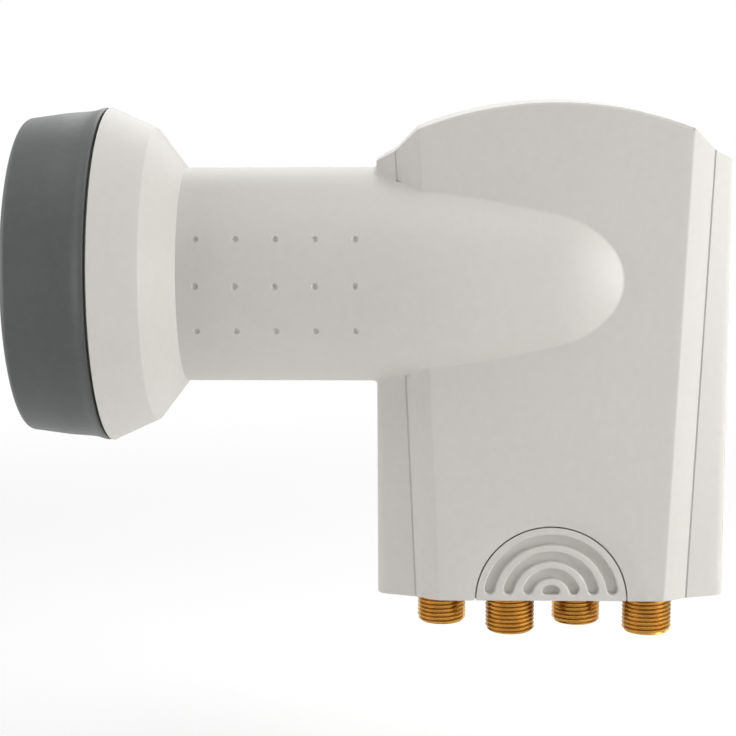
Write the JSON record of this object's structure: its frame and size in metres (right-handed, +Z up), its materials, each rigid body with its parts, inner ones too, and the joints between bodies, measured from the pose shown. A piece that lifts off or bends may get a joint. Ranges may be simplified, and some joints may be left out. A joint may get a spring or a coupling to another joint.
{
  "type": "satellite lnb",
  "caption": "Satellite LNB with a dark feed cap, round clamp neck, flat bevelled housing, threaded F ports underneath and a slide-down weather shield.",
  "frame": {"origin": "on the clamp neck's axis, in the middle of the neck", "axes": "+X along the neck from the feed cap towards the housing, +Z up, ports pointing to -Z; the picture is seen from -Y"},
  "size_m": [0.1304, 0.0624, 0.1],
  "materials": {
    "housing_plastic": "fine satin texture, warm light grey",
    "cap_plastic": "fine satin texture, dark grey",
    "seal_rubber": "matte black",
    "cast_aluminium": "as die-cast, slightly grained",
    "sheet_aluminium": "rolled sheet",
    "screw_steel": "bright zinc-plated",
    "board_laminate": "green solder mask",
    "chip_plastic": "moulded black epoxy",
    "crystal_can": "nickel-plated can",
    "plated_pin": "gold-plated",
    "gold_plated_brass": "gold-plated, machined thread",
    "white_insulator": "natural white"
  },
  "bodies": {
    "housing": {"bent_probe": "plated_pin", "cap_seal": "seal_rubber", "circuit_board": "board_laminate", "connector_seals": "seal_rubber", "f_barrel_1": "gold_plated_brass", "f_barrel_2": "gold_plated_brass", "f_barrel_3": "gold_plated_brass", "f_barrel_4": "gold_plated_brass", "f_contact_1": "plated_pin", "f_contact_2": "plated_pin", "f_contact_3": "plated_pin", "f_contact_4": "plated_pin", "f_insulator_1": "white_insulator", "f_insulator_2": "white_insulator", "f_insulator_3": "white_insulator", "f_insulator_4": "white_insulator", "feed_cap": "cap_plastic", "front_shell": "housing_plastic", "horn_casting": "cast_aluminium", "lid_gasket": "seal_rubber", "lid_screws": "screw_steel", "matrix_chip": "chip_plastic", "probe_bushes": "white_insulator", "rear_shell": "housing_plastic", "receiver_chip": "chip_plastic", "reference_crystal": "crystal_can", "straight_probe": "plated_pin", "tray_lid": "sheet_aluminium", "voltage_regulators": "chip_plastic"},
    "shield": {"weather_shield": "housing_plastic"}
  },
  "joints": [
    {"name": "shield_slide", "type": "slide", "parent": "housing", "child": "shield", "axis": [0, 0, -1], "range_m": [0, 0.022]}
  ]
}
